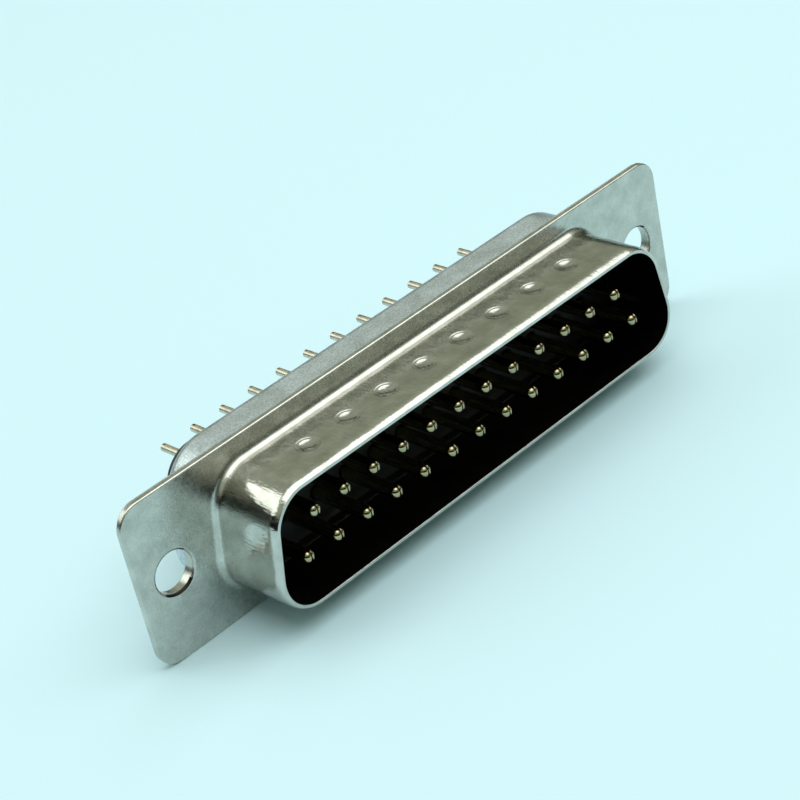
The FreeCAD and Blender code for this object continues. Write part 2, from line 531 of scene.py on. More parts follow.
def linear(colour: str) -> tuple[float, float, float, float]:
    """The linear colour of an sRGB hex value such as #D3CDC0."""
    channels = [int(colour[start : start + 2], 16) / 255 for start in (1, 3, 5)]
    return (*[c / 12.92 if c <= 0.04045 else ((c + 0.055) / 1.055) ** 2.4 for c in channels], 1.0)


def per_size(size: float) -> float:
    """The scale that gives a texture on Object coordinates features of a size in millimetres."""
    return 1 / (size * MM)


def add_node(
    tree: NodeTree,
    kind: str,
    settings: dict[str, object] | None = None,
    links: Sockets | None = None,
) -> Sockets:
    """Add a node, set it up and link its inputs.

    Args:
        tree: the node tree that it goes in.
        kind: the node's type name.
        settings: values by input or by the node's own property, and a ramp's places and hex
            colours as its stops.
        links: what each input takes its value from.

    Returns:
        The node's outputs. Inputs and outputs go by their identifiers.
    """
    node = tree.nodes.new(kind)
    inputs = {socket.identifier: socket for socket in node.inputs}
    for name, value in (settings or {}).items():
        if name == "stops":
            elements = node.color_ramp.elements
            while len(elements) < len(value):
                elements.new(0.5)
            for element, (position, colour) in zip(elements, value):
                element.position = position
                element.color = linear(colour)
        elif name in inputs:
            inputs[name].default_value = value
        else:
            setattr(node, name, value)
    for name, source in (links or {}).items():
        tree.links.new(source, inputs[name])
    return {socket.identifier: socket for socket in node.outputs}


@dataclass(frozen=True)
class Pattern:
    """An irregular pattern: the size of its features in millimetres, and how broken up it is."""

    size: float
    detail: float = 2.0
    roughness: float = 0.5

    @property
    def settings(self) -> dict[str, float]:
        """What a noise texture on Object coordinates is set to."""
        return {"Scale": per_size(self.size), "Detail": self.detail, "Roughness": self.roughness}


@dataclass(frozen=True)
class Finish(ABC):
    """What every finish shares: a name and a node material with one surface."""

    name: str

    def build(self) -> Material:
        """The finish as a node material."""
        material = bpy.data.materials.new(self.name)
        material.use_nodes = True
        tree = material.node_tree
        tree.nodes.clear()
        add_node(tree, "ShaderNodeOutputMaterial", links={"Surface": self.surface(tree)})
        return material

    @abstractmethod
    def surface(self, tree: NodeTree) -> NodeSocket:
        """Add the finish's own nodes.

        Args:
            tree: the material's node tree.

        Returns:
            The shader's output.
        """


@dataclass(frozen=True)
class DrawnNickelPlate(Finish):
    """Bright nickel over deep-drawn steel.

    The flange keeps the satin of the rolled sheet and the die has burnished the shroud, so that
    the flange blurs what it reflects and the shroud shows it clearly. Draw lines and small dents
    fray the edges of every highlight. The lines and the grain are drawn wider than the real ones,
    so that they show.
    """

    name: str = "bright nickel plate on drawn steel"
    colours: Stops = ((0.34, "#CCCBC5"), (0.70, "#B2B2AA"))
    stains: Pattern = Pattern(1.5, 4.0, 0.6)
    burnished: float = 0.08
    satin: float = 0.22
    roughness_spread: float = 0.09
    burnish_end: float = 0.15
    burnish_fade: float = 0.40
    patches: Pattern = Pattern(0.4, 5.0, 0.65)
    waves: Pattern = Pattern(2.4)
    wave_height: float = 0.055
    line_size: Coordinates = (0.13, 0.75, 0.13)
    line_height: float = 0.016
    grain: Pattern = Pattern(0.11)
    grain_height: float = 0.003
    flange_relief: float = 0.16

    def surface(self, tree: NodeTree) -> NodeSocket:
        """Clear on the shroud and blurred on the flange, with waves, draw lines and grain.

        Args:
            tree: the material's node tree.

        Returns:
            The shader's output.
        """
        place = add_node(tree, "ShaderNodeTexCoord")["Object"]
        along = add_node(tree, "ShaderNodeSeparateXYZ", links={"Vector": place})["Y"]
        patches, stains = (
            add_node(tree, "ShaderNodeTexNoise", pattern.settings, {"Vector": place})["Fac"]
            for pattern in (self.patches, self.stains)
        )
        unburnished, relief = (
            add_node(
                tree,
                "ShaderNodeMapRange",
                {
                    "From Min": -(self.burnish_end + self.burnish_fade) * MM,
                    "From Max": -self.burnish_end * MM,
                    "To Min": on_shroud,
                    "To Max": on_flange,
                },
                {"Value": along},
            )["Result"]
            for on_shroud, on_flange in ((self.burnished, self.satin), (1.0, self.flange_relief))
        )
        spread = add_node(
            tree,
            "ShaderNodeMapRange",
            {"From Min": NOISE_LOW, "From Max": NOISE_HIGH, "To Max": self.roughness_spread},
            {"Value": patches},
        )["Result"]
        roughness = add_node(
            tree,
            "ShaderNodeMath",
            {"operation": "ADD"},
            {"Value": unburnished, "Value_001": spread},
        )["Value"]
        stretched = add_node(
            tree,
            "ShaderNodeMapping",
            {"Scale": tuple(per_size(size) for size in self.line_size)},
            {"Vector": place},
        )["Vector"]
        raised = {}
        for settings, source, height in (
            (self.waves.settings, place, self.wave_height),
            ({"Scale": 1.0}, stretched, self.line_height),
            (self.grain.settings, place, self.grain_height),
        ):
            noise = add_node(tree, "ShaderNodeTexNoise", settings, {"Vector": source})["Fac"]
            links = {"Height": noise, "Strength": relief, **raised}
            raised = add_node(tree, "ShaderNodeBump", {"Distance": height * MM}, links)
        colour = add_node(tree, "ShaderNodeValToRGB", {"stops": self.colours}, {"Fac": stains})
        return add_node(
            tree,
            "ShaderNodeBsdfPrincipled",
            {"Metallic": 1.0},
            {"Base Color": colour["Color"], "Roughness": roughness, **raised},
        )["BSDF"]


@dataclass(frozen=True)
class GrainedFinish(Finish):
    """A finish with a fine raised grain, and a gloss that changes in broad patches."""

    colours: Stops
    patches: Pattern
    grain: Pattern
    grain_height: float
    smooth: float
    rough: float
    coloured_by: Layer = Layer.PATCHES
    constant: tuple[str, float] = ("Metallic", 1.0)

    def surface(self, tree: NodeTree) -> NodeSocket:
        """Patches for the gloss, grain for the relief, and one of the two for the colour.

        Args:
            tree: the material's node tree.

        Returns:
            The shader's output.
        """
        place = add_node(tree, "ShaderNodeTexCoord")["Object"]
        layers = {
            layer: add_node(tree, "ShaderNodeTexNoise", pattern.settings, {"Vector": place})["Fac"]
            for layer, pattern in ((Layer.PATCHES, self.patches), (Layer.GRAIN, self.grain))
        }
        roughness = add_node(
            tree,
            "ShaderNodeMapRange",
            {
                "From Min": NOISE_LOW,
                "From Max": NOISE_HIGH,
                "To Min": self.smooth,
                "To Max": self.rough,
            },
            {"Value": layers[Layer.PATCHES]},
        )["Result"]
        raised = add_node(
            tree,
            "ShaderNodeBump",
            {"Distance": self.grain_height * MM},
            {"Height": layers[Layer.GRAIN]},
        )
        colour = add_node(
            tree, "ShaderNodeValToRGB", {"stops": self.colours}, {"Fac": layers[self.coloured_by]}
        )
        return add_node(
            tree,
            "ShaderNodeBsdfPrincipled",
            dict([self.constant]),
            {"Base Color": colour["Color"], "Roughness": roughness, **raised},
        )["BSDF"]


@dataclass(frozen=True)
class PaintedShadeShroudInside(GrainedFinish):
    """Nickel inside the drawn shroud, dark with painted shade where the deep cavity gets little
    light.

    Its near-black colour is painted shade, which gives a deep, almost black cavity with only a hint
    of metal sheen.
    """

    # A finish for the shroud's inside whose darkness is painted shade of the deep cavity.
    name: str = "nickel with painted shade inside the shroud"
    # These near-black colours are painted shade, not the nickel's own tone.
    colours: Stops = ((0.40, "#2E2C29"), (0.65, "#211F1D"))
    patches: Pattern = Pattern(1.6, 4.0)
    grain: Pattern = Pattern(0.16)
    grain_height: float = 0.0006
    smooth: float = 0.30
    rough: float = 0.42


@dataclass(frozen=True)
class SatinTinPlate(GrainedFinish):
    """Satin tin over pressed steel.

    It blurs the room to a soft, slightly blue sheen with a faint sparkle of small crystals, which
    are drawn larger than the real ones, so that they show.
    """

    name: str = "satin tin plate on pressed steel"
    colours: Stops = ((0.40, "#B6C1C7"), (0.62, "#DDE5E9"))
    patches: Pattern = Pattern(2.2, 5.0, 0.65)
    grain: Pattern = Pattern(0.14, 3.0, 0.6)
    grain_height: float = 0.0017
    smooth: float = 0.36
    rough: float = 0.48
    coloured_by: Layer = Layer.GRAIN


@dataclass(frozen=True)
class MouldedPolyester(GrainedFinish):
    """Black glass-filled polyester as it leaves the mould.

    It stays nearly black, with a low gloss that fine pits break up. They are drawn larger than
    the real ones, so that they show.
    """

    name: str = "moulded black polyester"
    colours: Stops = ((0.45, "#0D0D0E"), (0.75, "#171717"))
    patches: Pattern = Pattern(2.5, 3.0)
    grain: Pattern = Pattern(0.12, 3.0)
    grain_height: float = 0.0015
    smooth: float = 0.34
    rough: float = 0.50
    constant: tuple[str, float] = ("IOR", 1.55)


@dataclass(frozen=True)
class SelectivePlate(Finish):
    """Formed brass with a thin gold flash on the pin and satin tin on the board tail.

    The pins glint pale gold and the tails have a warm grey sheen, both with faint lines along
    them. The plating line lies inside the mouldings, where the two baths met.
    """

    name: str = "gold flash pin with satin tail"
    gold: Stops = ((0.40, "#BAB08B"), (0.65, "#A79E80"))
    tail: Stops = ((0.40, "#D3CBBC"), (0.65, "#BDB4A4"))
    plating_line: float = 4.0
    plating_fade: float = 0.3
    pin_roughness: float = 0.13
    tail_roughness: float = 0.32
    patches: Pattern = Pattern(0.5, 3.0)
    line_size: Coordinates = (0.07, 1.5, 0.07)
    line_height: float = 0.0006

    def surface(self, tree: NodeTree) -> NodeSocket:
        """Gold in front of the plating line and tin behind it, with forming lines.

        Args:
            tree: the material's node tree.

        Returns:
            The shader's output.
        """
        place = add_node(tree, "ShaderNodeTexCoord")["Object"]
        along = add_node(tree, "ShaderNodeSeparateXYZ", links={"Vector": place})["Y"]
        share = add_node(
            tree,
            "ShaderNodeMapRange",
            {
                "From Min": (self.plating_line - self.plating_fade) * MM,
                "From Max": (self.plating_line + self.plating_fade) * MM,
            },
            {"Value": along},
        )["Result"]
        patches = add_node(tree, "ShaderNodeTexNoise", self.patches.settings, {"Vector": place})
        gold, tail = (
            add_node(tree, "ShaderNodeValToRGB", {"stops": stops}, {"Fac": patches["Fac"]})["Color"]
            for stops in (self.gold, self.tail)
        )
        colour = add_node(
            tree,
            "ShaderNodeMix",
            {"data_type": "RGBA"},
            {"Factor_Float": share, "A_Color": gold, "B_Color": tail},
        )["Result_Color"]
        roughness = add_node(
            tree,
            "ShaderNodeMapRange",
            {"To Min": self.pin_roughness, "To Max": self.tail_roughness},
            {"Value": share},
        )["Result"]
        stretched = add_node(
            tree,
            "ShaderNodeMapping",
            {"Scale": tuple(per_size(size) for size in self.line_size)},
            {"Vector": place},
        )
        lines = add_node(tree, "ShaderNodeTexNoise", {"Scale": 1.0}, stretched)["Fac"]
        raised = add_node(
            tree, "ShaderNodeBump", {"Distance": self.line_height * MM}, {"Height": lines}
        )
        return add_node(
            tree,
            "ShaderNodeBsdfPrincipled",
            {"Metallic": 1.0},
            {"Base Color": colour, "Roughness": roughness, **raised},
        )["BSDF"]


@dataclass(frozen=True)
class PaleStudioFloor(Finish):
    """A pale matt sheet. It is clear from below, so that the underside of the plug can be seen."""

    name: str = "pale matt floor"
    colour: str = "#CDEAF4"
    roughness: float = 0.9
    gloss: float = 0.1

    def surface(self, tree: NodeTree) -> NodeSocket:
        """Matt from above and clear from below.

        Args:
            tree: the material's node tree.

        Returns:
            The shader's output.
        """
        matt = add_node(
            tree,
            "ShaderNodeBsdfPrincipled",
            {
                "Base Color": linear(self.colour),
                "Roughness": self.roughness,
                "Specular IOR Level": self.gloss,
            },
        )["BSDF"]
        clear = add_node(tree, "ShaderNodeBsdfTransparent")["BSDF"]
        below = add_node(tree, "ShaderNodeNewGeometry")["Backfacing"]
        return add_node(
            tree,
            "ShaderNodeMixShader",
            links={"Fac": below, "Shader": matt, "Shader_001": clear},
        )["Shader"]


@dataclass(frozen=True)
class PlugSizes:
    """The sizes that the sub-assemblies share, in millimetres."""

    long_row: int = 13
    short_row: int = 12
    pitch: float = 2.76
    row_spacing: float = 2.84
    front_sheet: float = 0.40
    rear_sheet: float = 0.30
    mouth_plane: float = -5.90
    shroud: Outline = Outline(38.96, 8.36, 2.60, math.radians(10.0))
    flange: Outline = Outline(53.04, 12.55, 1.70)
    can_margin: float = 1.17
    can_rim_radius: float = 1.00
    can_rim_land: float = 0.15
    can_back: float = 4.70
    hole_offset: float = 23.52
    hole_diameter: float = 3.05
    nose_plane: float = 0.10
    split_plane: float = 2.40
    rear_plane: float = 5.75
    tip_plane: float = -5.30
    tail_plane: float = 10.75
    clearance: float = 0.05

    @property
    def rear_flange_back(self) -> float:
        """The back of both flange sheets."""
        return self.front_sheet + self.rear_sheet

    @property
    def can(self) -> Outline:
        """The outside of the rear shell's can."""
        return self.shroud.grown(self.can_margin)

    @property
    def can_opening(self) -> Outline:
        """The opening in the can's back."""
        return self.can.grown(-self.can_rim_radius - self.can_rim_land)

    @property
    def can_rim_plane(self) -> float:
        """The inner face of the can's turned-in rim."""
        return self.can_back - self.rear_sheet

    @property
    def moulding(self) -> Outline:
        """The outside of both mouldings, inside the can."""
        return self.can.grown(-self.rear_sheet - self.clearance)

    @property
    def hole_places(self) -> list[Coordinates]:
        """The centres of the two fixing holes."""
        return [(-self.hole_offset, 0, 0), (self.hole_offset, 0, 0)]

    @property
    def contact_places(self) -> list[Coordinates]:
        """The axis of each contact, numbered along each row from +X.

        Returns:
            A point of each axis.
        """
        half = self.row_spacing / 2
        return [
            (((count - 1) / 2 - index) * self.pitch, 0, z)
            for count, z in ((self.long_row, -half), (self.short_row, half))
            for index in range(count)
        ]


@dataclass
class FrontShell:
    """The flange's front sheet, drawn forwards into the D shroud, with dimples and two eyelets."""

    sizes: PlugSizes
    bend_radius: float = 0.55
    lip_across: float = 0.21
    lip_along: float = 0.80
    lip_inner_radius: float = 0.03
    edge_roll: float = 0.12
    hole_entry: float = 0.22
    eyelet_wall: float = 0.28
    flare_width: float = 0.45
    flare_thickness: float = 0.24
    flare_round: float = 0.10
    dimple_count: int = 8
    dimple_pitch: float = 3.70
    dimple_plane: float = -2.90
    dimple_radius: float = 0.80
    dimple_depth: float = 0.13
    dimple_bowl: float = 0.97
    dimple_rim: float = 0.60
    dimple_rim_end: float = 92.0
    dimple_sheet: float = 0.34
    bump_base: float = 0.75
    press_step: float = 0.02
    press_top: float = 0.25

    def build(self) -> Object:
        """Model the shell.

        Returns:
            The closed shell, in millimetres.
        """
        skins = [self.outside(), self.inside(), self.rim(), *self.eyelets()]
        shell = joined("drawn_front_shell", skins)
        bridge(shell, self.lip_end, -self.bend_radius)
        close_flats(shell, 0.0, self.sizes.front_sheet)
        combine(shell, self.dimples(self.bump_profile()), "UNION")
        combine(shell, self.dimples(self.pocket_profile()), "DIFFERENCE")
        return shell

    @property
    def lip_end(self) -> float:
        """Where the lip's inner round meets the shroud's inside wall."""
        return self.sizes.mouth_plane + self.lip_inner_radius

    def outside(self) -> Object:
        """The outer face, from the flange's front over the shroud to the lip's inner edge.

        Returns:
            The skin, open at the lip's inner edge.
        """
        sizes = self.sizes
        outline = sizes.shroud.grown(sizes.front_sheet + self.bend_radius)
        skin = plate("outside", outline, 0.0, Facing.FRONT)
        quarter(self.bend_radius, self.bend_radius, Leaving.FACE)
        draw(sizes.mouth_plane + self.lip_along + self.bend_radius)
        quarter(self.lip_across, self.lip_along, Leaving.WALL)
        inset(sizes.front_sheet - self.lip_across - self.lip_inner_radius)
        quarter(self.lip_inner_radius, -self.lip_inner_radius, Leaving.FACE, steps=3)
        open_cap()
        return skin

    def inside(self) -> Object:
        """The bend behind the flange, up to the shroud's inside wall.

        Returns:
            The skin, open at the inside wall.
        """
        sheet = self.sizes.front_sheet
        radius = self.bend_radius + sheet
        skin = plate("inside", self.sizes.shroud.grown(radius), sheet, Facing.BACK)
        quarter(radius, -radius, Leaving.FACE)
        open_cap()
        return skin

    def rim(self) -> Object:
        """The flange's cut edge, which the press has rolled at the front.

        Returns:
            The strip round the flange.
        """
        sheet = self.sizes.front_sheet
        edge = plate("rim", self.sizes.flange, sheet, Facing.FRONT, segments=16)
        draw(self.edge_roll - sheet)
        quarter(self.edge_roll, self.edge_roll, Leaving.WALL, steps=5)
        open_cap()
        open_start(edge, self.sizes.flange)
        return edge

    def eyelets(self) -> list[Object]:
        """The two fixing holes, drawn back through the rear flange and flared over it.

        Returns:
            The eyelets' walls, open where the flange's front sheet meets them.
        """
        bore = self.sizes.hole_diameter / 2
        outer = bore + self.eyelet_wall
        rear = self.sizes.rear_flange_back
        back = rear + self.flare_thickness
        tip = outer + self.flare_width
        entry, small = self.hole_entry, self.flare_round
        profile = [
            *arc((bore + entry, entry), entry, -90, -180, steps=8),
            *arc((bore + small, back - small), small, 180, 90, steps=5),
            *arc((tip - small, back - small), small, 90, 0, steps=5),
            (tip, rear),
            (outer, rear),
            (outer, self.sizes.front_sheet),
        ]
        return turned_holes("eyelet", profile, self.sizes.hole_places, HOLE_SIDES)

    def pocket_profile(self) -> Profile:
        """The tool that presses a dimple into the outside, with a soft rim.

        Returns:
            Distances from the dimple's axis and heights above the shroud's face.
        """
        radius, depth, rim = self.dimple_radius, self.dimple_depth, self.dimple_rim
        ball = (radius**2 + depth**2) / (2 * depth)
        reach = (ball + rim) * radius / ball
        turn = math.degrees(math.asin(radius / ball)) * self.dimple_bowl
        floor = arc((0, ball - depth), ball, -90, turn - 90, steps=10)
        soft_rim = arc((reach, -rim), rim, 90 + turn, self.dimple_rim_end, steps=6)
        top = [(reach, self.press_step), (reach, self.press_top), (0, self.press_top)]
        return [*floor[:-1], *soft_rim, *top]

    def bump_profile(self) -> Profile:
        """The dimple's inner side, which starts three quarters of the way into the sheet.

        Returns:
            Distances from the dimple's axis and heights above the shroud's face.
        """
        base, depth = self.sizes.front_sheet * self.bump_base, self.dimple_depth
        ball = (self.dimple_radius**2 + depth**2) / (2 * depth) + self.dimple_sheet
        centre = ball - depth - self.dimple_sheet
        turn = math.degrees(math.acos((centre + base) / ball))
        return [*arc((0, centre), ball, -90, turn - 90, steps=10), (0, -base)]

    def dimples(self, profile: Profile) -> Object:
        """One tool with a profile turned at every dimple of both long faces.

        Args:
            profile: distances from the dimple's axis and heights above the shroud's face.

        Returns:
            The joined tools.
        """
        face = self.sizes.shroud.height / 2 + self.sizes.front_sheet
        first = -(self.dimple_count - 1) / 2 * self.dimple_pitch
        moves = [(first + index * self.dimple_pitch, 0, 0) for index in range(self.dimple_count)]
        tools = []
        for side in (1, -1):
            sided = [(reach, side * height) for reach, height in profile]
            centre = (0, self.dimple_plane, side * face)
            tools += copies(turned("press", sided, centre, Axis.HEIGHT, steps=40), moves, "press")
        return joined("presses", tools)

    def lies_inside(self, face: BMFace) -> bool:
        """Whether a face belongs to the shroud's inside wall or the bend at its root.

        Args:
            face: a face of the finished shell, in metres.

        Returns:
            Whether it looks inwards, between the lip and the flange's back.
        """
        sizes, middle, normal = self.sizes, face.calc_center_median() / MM, face.normal
        if not self.lip_end - WELD < middle.y < sizes.front_sheet - WELD:
            return False
        if abs(middle.z) > sizes.shroud.height / 2 + WELD or abs(normal.y) > LOOKS_ALONG:
            return False
        if abs(normal.z) > abs(normal.x):
            return normal.z * middle.z < 0
        return normal.x * middle.x < 0 and abs(middle.x) < sizes.shroud.width / 2

    def paint_shade_inside(self, shell: Object, material: Material) -> None:
        """Give the shroud's inside wall a finish of its own, whose dark colour is painted shade.

        Args:
            shell: the finished shell, in metres.
            material: the inside finish, dark with painted shade.
        """
        shell.data.materials.append(material)
        edit(shell)
        pick(shell, "FACE", self.lies_inside)
        shell.active_material_index = 1
        bpy.ops.object.material_slot_assign()
        leave()


@dataclass
class RearShell:
    """The flanged can that closes round both mouldings."""

    sizes: PlugSizes
    bend_radius: float = 0.30
    side_inset: float = 0.10
    end_inset: float = 0.22
    edge_round: float = 0.06
    hole_radius: float = 1.835

    def build(self) -> Object:
        """Model the shell.

        Returns:
            The closed shell, in millimetres.
        """
        sizes = self.sizes
        skins = [self.outside(), self.inside(), self.rim(), *self.holes()]
        shell = joined("pressed_rear_shell", skins)
        bridge(shell, sizes.can_back, sizes.can_rim_plane)
        close_flats(shell, sizes.front_sheet, sizes.rear_flange_back)
        return shell

    def outside(self) -> Object:
        """The outer face of the can, up to its opening.

        Returns:
            The skin, open at the opening.
        """
        sizes = self.sizes
        bend, radius, back = self.bend_radius, sizes.can_rim_radius, sizes.rear_flange_back
        skin = plate("outside", sizes.can.grown(bend), back, Facing.BACK)
        quarter(bend, bend, Leaving.FACE)
        draw(sizes.can_back - radius - back - bend)
        quarter(radius, radius, Leaving.WALL, steps=12)
        inset(sizes.can_rim_land)
        open_cap()
        return skin

    def inside(self) -> Object:
        """The inner face of the can, up to its opening.

        Returns:
            The skin, open at the opening.
        """
        sizes = self.sizes
        bend = self.bend_radius + sizes.rear_sheet
        radius = sizes.can_rim_radius - sizes.rear_sheet
        skin = plate("inside", sizes.can.grown(self.bend_radius), sizes.front_sheet, Facing.FRONT)
        quarter(bend, -bend, Leaving.FACE)
        draw(sizes.can_back - sizes.can_rim_radius - sizes.front_sheet - bend)
        quarter(radius, -radius, Leaving.WALL, steps=12)
        inset(sizes.can_rim_land)
        open_cap()
        return skin

    def rim(self) -> Object:
        """The rear flange's cut edge.

        Returns:
            The strip round the flange.
        """
        sizes = self.sizes
        outline = Outline(
            sizes.flange.width - 2 * self.end_inset,
            sizes.flange.height - 2 * self.side_inset,
            sizes.flange.radius - self.side_inset,
        )
        edge = plate("rim", outline, sizes.front_sheet, Facing.BACK, segments=16)
        draw(sizes.rear_sheet - self.edge_round)
        quarter(self.edge_round, self.edge_round, Leaving.WALL, steps=4)
        open_cap()
        open_start(edge, outline)
        return edge

    def holes(self) -> list[Object]:
        """The two holes that the eyelets pass through.

        Returns:
            The holes' walls.
        """
        sizes = self.sizes
        profile = [(self.hole_radius, y) for y in (sizes.front_sheet, sizes.rear_flange_back)]
        return turned_holes("hole", profile, sizes.hole_places, HOLE_SIDES)


@dataclass
class Insulator(ABC):
    """What both mouldings share: a block with a stepped hole at every contact."""

    sizes: PlugSizes

    @abstractmethod
    def bore_profile(self) -> Profile:
        """The wall of a contact hole, as distances from its axis and Y.

        Returns:
            The points of the wall, from the front to the back.
        """

    def pierced(
        self, name: str, block: Object, outline: Outline, planes: tuple[float, float]
    ) -> Object:
        """Close a block's two open faces round the contact holes.

        Args:
            name: the moulding's name.
            block: the drawn block, which still has the face that it started from.
            outline: a shape no larger than that face.
            planes: the Y of both faces.

        Returns:
            The closed moulding.
        """
        open_start(block, outline)
        places = self.sizes.contact_places
        bores = turned_holes("bore", self.bore_profile(), places, BORE_SIDES)
        block = joined(name, [block, *bores])
        close_flats(block, *planes)
        return block


@dataclass
class FrontInsulator(Insulator):
    """The moulding that carries the contacts and fills the root of the shroud."""

    nose_clearance: float = 0.10
    nose_round: float = 0.12
    bore_radius: float = 0.53
    lead_in: float = 0.14
    pocket_radius: float = 0.87
    pocket_depth: float = 1.10

    def build(self) -> Object:
        """Model the moulding.

        Returns:
            The closed moulding, in millimetres.
        """
        sizes = self.sizes
        nose = sizes.shroud.grown(-self.nose_clearance)
        body = sizes.moulding
        block = plate("block", body, sizes.split_plane, Facing.FRONT)
        draw(sizes.front_sheet - sizes.split_plane)
        inset((body.width - nose.width) / 2)
        draw(sizes.nose_plane + self.nose_round - sizes.front_sheet)
        quarter(self.nose_round, self.nose_round, Leaving.WALL, steps=4)
        open_cap()
        planes = (sizes.nose_plane, sizes.split_plane)
        return self.pierced("moulded_front_insulator", block, body, planes)

    def bore_profile(self) -> Profile:
        """The wall of a contact hole, from its lead-in to the collar pocket.

        Returns:
            Distances from the hole's axis and Y, from the front to the back.
        """
        nose, split = self.sizes.nose_plane, self.sizes.split_plane
        return [
            (self.bore_radius + self.lead_in, nose),
            (self.bore_radius, nose + self.lead_in),
            (self.bore_radius, split - self.pocket_depth),
            (self.pocket_radius, split - self.pocket_depth),
            (self.pocket_radius, split),
        ]


@dataclass
class RearInsulator(Insulator):
    """The moulding that closes the contact pockets and stands proud of the can."""

    edge_round: float = 0.20
    bore_radius: float = 0.60
    lead_in: float = 0.14

    def build(self) -> Object:
        """Model the moulding.

        Returns:
            The closed moulding, in millimetres.
        """
        sizes = self.sizes
        body = sizes.moulding
        proud = sizes.can_opening.grown(-sizes.clearance)
        shoulder = sizes.can_rim_radius - sizes.rear_sheet + sizes.clearance
        block = plate("block", body, sizes.split_plane, Facing.BACK)
        draw(sizes.can_rim_plane - shoulder - sizes.split_plane)
        quarter(shoulder, shoulder, Leaving.WALL)
        inset((body.width - proud.width) / 2 - shoulder)
        draw(sizes.rear_plane - self.edge_round - sizes.can_rim_plane)
        quarter(self.edge_round, self.edge_round, Leaving.WALL, steps=5)
        open_cap()
        planes = (sizes.split_plane, sizes.rear_plane)
        return self.pierced("moulded_rear_insulator", block, proud, planes)

    def bore_profile(self) -> Profile:
        """The wall of a shank hole, with its lead-in at the back.

        Returns:
            Distances from the hole's axis and Y, from the front to the back.
        """
        back = self.sizes.rear_plane
        return [
            (self.bore_radius, self.sizes.split_plane),
            (self.bore_radius, back - self.lead_in),
            (self.bore_radius + self.lead_in, back),
        ]


@dataclass
class Contacts:
    """The 25 pins: a domed pin, a collar and shank inside the mouldings, and a board tail."""

    sizes: PlugSizes
    pin_radius: float = 0.51
    collar_radius: float = 0.85
    collar_length: float = 1.10
    shank_radius: float = 0.58
    shank_setback: float = 0.30
    edge_break: float = 0.05
    tail_radius: float = 0.30
    tail_end: float = 0.12
    tail_sides: int = 28
    seam_width: float = 0.12
    seam_depth: float = 0.09
    pin_seam_width: float = 0.06
    pin_seam_depth: float = 0.28
    pin_seam_offset: float = 0.06
    pin_seam_lip: float = 0.12

    def build(self) -> list[Object]:
        """Model one contact and copy it to its places.

        Returns:
            The contacts in order, in millimetres.
        """
        pin = self.turned_pin()
        combine(pin, self.pin_seam(), "DIFFERENCE")
        combine(pin, self.tail(), "UNION")
        return copies(pin, self.sizes.contact_places, "formed_contact")

    @property
    def dome_back(self) -> float:
        """Where the pin's dome meets its straight part."""
        return self.sizes.tip_plane + self.pin_radius

    @property
    def collar_front(self) -> float:
        """Where the collar starts."""
        return self.sizes.split_plane - self.collar_length

    @property
    def shank_back(self) -> float:
        """Where the shank ends, inside the rear moulding."""
        return self.sizes.rear_plane - self.shank_setback

    def turned_pin(self) -> Object:
        """The round part, from the dome to the shank's end.

        Returns:
            The closed pin, collar and shank.
        """
        split, edge = self.sizes.split_plane, self.edge_break
        pin, collar, shank = self.pin_radius, self.collar_radius, self.shank_radius
        profile = [
            *arc((0, self.dome_back), pin, -90, 0, steps=12),
            (pin, self.collar_front),
            (collar - edge, self.collar_front),
            (collar, self.collar_front + edge),
            (collar, split),
            (shank, split),
            (shank, self.shank_back - edge),
            (shank - edge, self.shank_back),
            (0, self.shank_back),
        ]
        return turned("pin", profile, (0, 0, 0), Axis.MATING, steps=40)

    def pin_seam(self) -> Object:
        """The tool for the rolled sheet's seam, up over the nose and back along the pin's top.

        Returns:
            The closed tool.
        """
        half, lip, depth = self.pin_seam_width / 2, self.pin_seam_lip, self.pin_seam_depth
        skin = self.pin_radius + 2 * WELD
        middle = math.sqrt((skin - lip) ** 2 - (half + lip) ** 2)
        lean = math.atan2(half + lip, middle)
        rolled = arc((middle, half + lip), lip, -90, math.degrees(lean), steps=8)
        beyond = (skin + lip) * math.cos(lean), (skin + lip) * math.sin(lean)
        right = [(self.pin_radius - depth, half), *rolled, beyond]
        left = [(reach, -across) for reach, across in reversed(right)]
        loop = [*right, *left, right[0]]
        start, end = self.dome_back, self.collar_front
        tool = turned("seam", loop, (0, start, 0), Axis.LENGTH, steps=20, turn=-math.pi)
        edit(tool, "EDGE")
        bpy.ops.mesh.select_all(action="SELECT")
        bpy.ops.transform.translate(value=(self.pin_seam_offset, 0, 0))
        on_start = open_edge_on(start)
        pick(tool, "EDGE", lambda edge: on_start(edge) and edge.verts[0].co.z > 0)
        draw(end - start)
        close_flats(tool, start, end)
        return tool

    def tail(self) -> Object:
        """The board tail: a round bar with a tapered end and the sheet's seam along its top.

        Returns:
            The closed bar.
        """
        end, half_seam = self.sizes.tail_plane, self.seam_width / 2
        front = self.shank_back - self.seam_depth
        length = end - self.tail_end - front
        leave()
        bpy.ops.mesh.primitive_cylinder_add(
            vertices=self.tail_sides,
            radius=self.tail_radius,
            depth=length,
            location=(0, front + length / 2, 0),
            rotation=(math.pi / 2, 0, 0),
        )
        bar = bpy.context.object
        bar.name = "tail"
        set_place(bar)
        edit(bar)
        pick(bar, "FACE", lambda face: face.normal.y > LOOKS_ALONG)
        draw(self.tail_end)
        narrower = 1 - self.tail_end / self.tail_radius
        bpy.ops.transform.resize(value=(narrower, 1, narrower), center_override=(0, end, 0))
        for side in (-1, 1):
            bpy.ops.mesh.select_all(action="SELECT")
            bpy.ops.mesh.bisect(plane_co=(side * half_seam, 0, 0), plane_no=(1, 0, 0))
        pick(bar, "FACE", lambda face: face.normal.z > LOOKS_ALONG and is_between(face, half_seam))
        sink = {"value": (0, 0, -self.seam_depth)}
        bpy.ops.mesh.extrude_region_move(TRANSFORM_OT_translate=sink)
        leave()
        return bar


